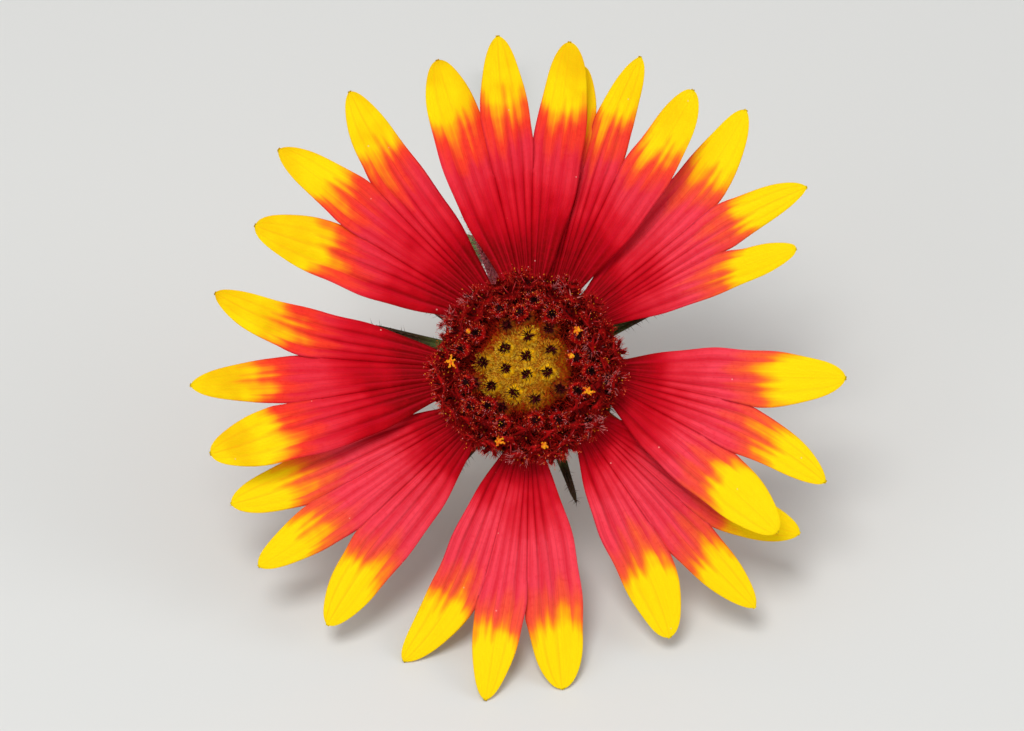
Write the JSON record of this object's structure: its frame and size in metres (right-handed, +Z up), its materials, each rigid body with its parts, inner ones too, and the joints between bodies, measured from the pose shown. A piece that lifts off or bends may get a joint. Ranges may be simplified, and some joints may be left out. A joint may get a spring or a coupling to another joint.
{
  "type": "blanket flower",
  "caption": "Picked blanket flower lying on a surface: red ray florets with yellow three-lobed ends round a maroon and yellow disc, on a short cut stem with small toothed leaves.",
  "frame": {"origin": "under the middle of the flower's bounding box, on the surface that it lies on", "axes": "+Z up; +Y along the lying stem from the bloom towards its cut end; +X to the right, looking along +Y at the bloom's face"},
  "size_m": [0.0542, 0.0802, 0.0398],
  "materials": {
    "ray_floret": "matte",
    "disc_ring": "matte",
    "disc_centre": "matte",
    "involucre": "matte",
    "stem": "matte",
    "leaf": "matte"
  },
  "bodies": {
    "root": {"ray_floret_01": "ray_floret", "ray_floret_02": "ray_floret", "ray_floret_03": "ray_floret", "ray_floret_04": "ray_floret", "ray_floret_05": "ray_floret", "ray_floret_06": "ray_floret", "ray_floret_07": "ray_floret", "ray_floret_08": "ray_floret", "ray_floret_09": "ray_floret", "disc_ring_florets": "disc_ring", "disc_centre_florets": "disc_centre", "involucre": "involucre", "stem": "stem", "leaf_1": "leaf", "leaf_2": "leaf"}
  },
  "joints": []
}
